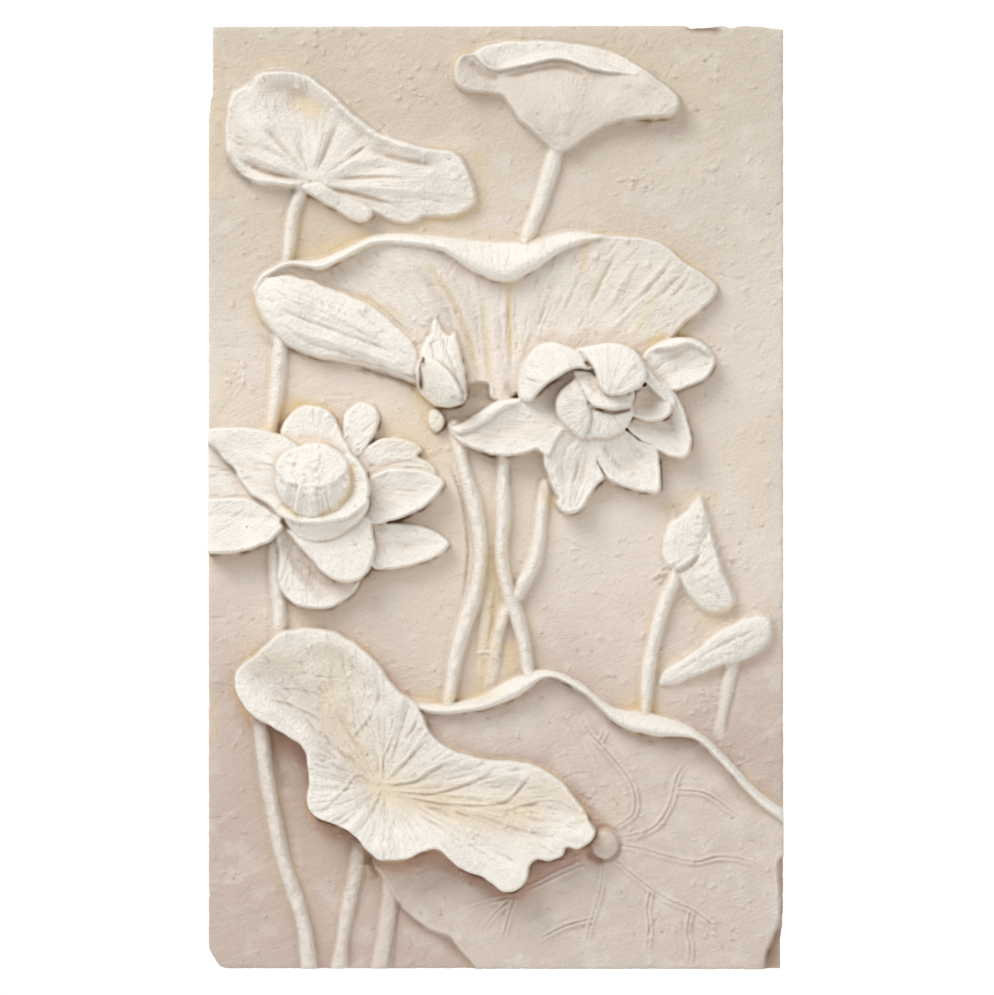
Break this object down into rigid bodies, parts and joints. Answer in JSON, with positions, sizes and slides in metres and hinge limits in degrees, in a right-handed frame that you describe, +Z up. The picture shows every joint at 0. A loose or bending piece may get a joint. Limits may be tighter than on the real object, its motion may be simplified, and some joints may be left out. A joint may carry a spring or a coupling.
{
  "type": "relief wall panel",
  "caption": "Upright rectangular plaster wall panel with lotus leaves, open flowers, buds and stems in high relief.",
  "frame": {"origin": "centre of the flat back, on the wall's surface", "axes": "+Z up along the panel's height, +X to the right as seen from the front, +Y out of the back into the wall, so the relief faces -Y"},
  "size_m": [0.574, 0.0983, 0.942],
  "materials": {
    "plaster": "off-white hand-worked plaster, matt, with ochre and brown stains in the hollows"
  },
  "bodies": {
    "root": {"lotus_relief_panel": "plaster"}
  },
  "joints": []
}
